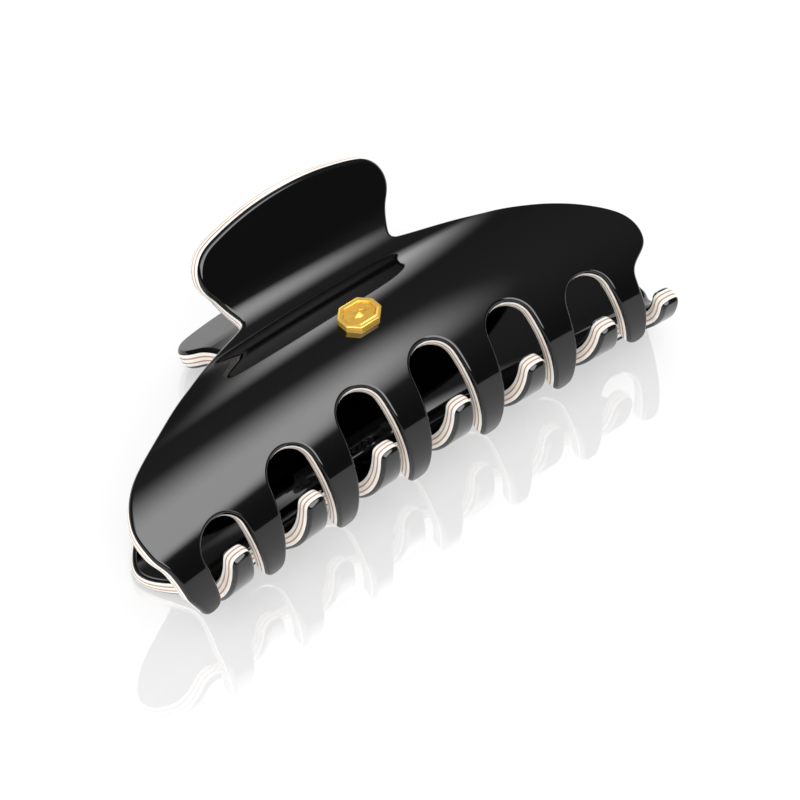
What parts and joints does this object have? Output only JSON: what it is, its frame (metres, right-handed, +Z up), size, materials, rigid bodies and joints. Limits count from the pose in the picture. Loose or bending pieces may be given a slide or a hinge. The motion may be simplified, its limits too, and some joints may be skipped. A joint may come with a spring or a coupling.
{
  "type": "hair claw clip",
  "caption": "Striped-edge black acetate hair claw clip: two curved toothed jaws with thumb handles on a sprung pin hinge.",
  "frame": {"origin": "on the table, under the middle of the clip: the centre of its bounding box in X and Y and its lowest point in Z. The hinge pin's centre is at (0, 8.53, 16.04) mm", "axes": "+X along the hinge pin, towards the end with the press-on cap; +Y from the teeth towards the handles; +Z up from the table with the clip lying on its rear jaw, so the front jaw with the badge is on top"},
  "size_m": [0.1066, 0.0522, 0.0361],
  "materials": {
    "black_acetate": "polished black acetate",
    "cream_acetate": "polished off-white acetate",
    "tan_acetate": "polished tan acetate",
    "hinge_steel": "brushed stainless steel",
    "pin_steel": "turned bright steel",
    "spring_steel": "drawn spring wire",
    "nylon": "natural nylon",
    "gold_plate": "polished gold-coloured plating",
    "gold_panel": "satin gold-coloured plating"
  },
  "bodies": {
    "rear_jaw": {"rear_outer_sheet": "black_acetate", "rear_cream_stripe_1": "cream_acetate", "rear_tan_stripe_1": "tan_acetate", "rear_cream_stripe_2": "cream_acetate", "rear_tan_stripe_2": "tan_acetate", "rear_cream_stripe_3": "cream_acetate", "rear_inner_sheet": "black_acetate", "rear_hinge_leaf": "hinge_steel", "rear_rivets": "hinge_steel", "hinge_pin": "pin_steel", "pin_cap": "pin_steel", "spring_sleeve": "nylon", "torsion_spring": "spring_steel"},
    "front_jaw": {"front_outer_sheet": "black_acetate", "front_cream_stripe_1": "cream_acetate", "front_tan_stripe_1": "tan_acetate", "front_cream_stripe_2": "cream_acetate", "front_tan_stripe_2": "tan_acetate", "front_cream_stripe_3": "cream_acetate", "front_inner_sheet": "black_acetate", "front_hinge_leaf": "hinge_steel", "front_rivets": "hinge_steel", "badge_plate": "gold_plate", "badge_inlay": "gold_panel"}
  },
  "joints": [
    {"name": "jaw_hinge", "type": "hinge", "parent": "rear_jaw", "child": "front_jaw", "pos_m": [0, 0.00853, 0.01604], "axis": [-1, 0, 0], "range_deg": [0, 60], "stiffness_Nm_per_rad": 0.06, "springref_deg": -40.11, "deforming": ["torsion_spring"]}
  ]
}
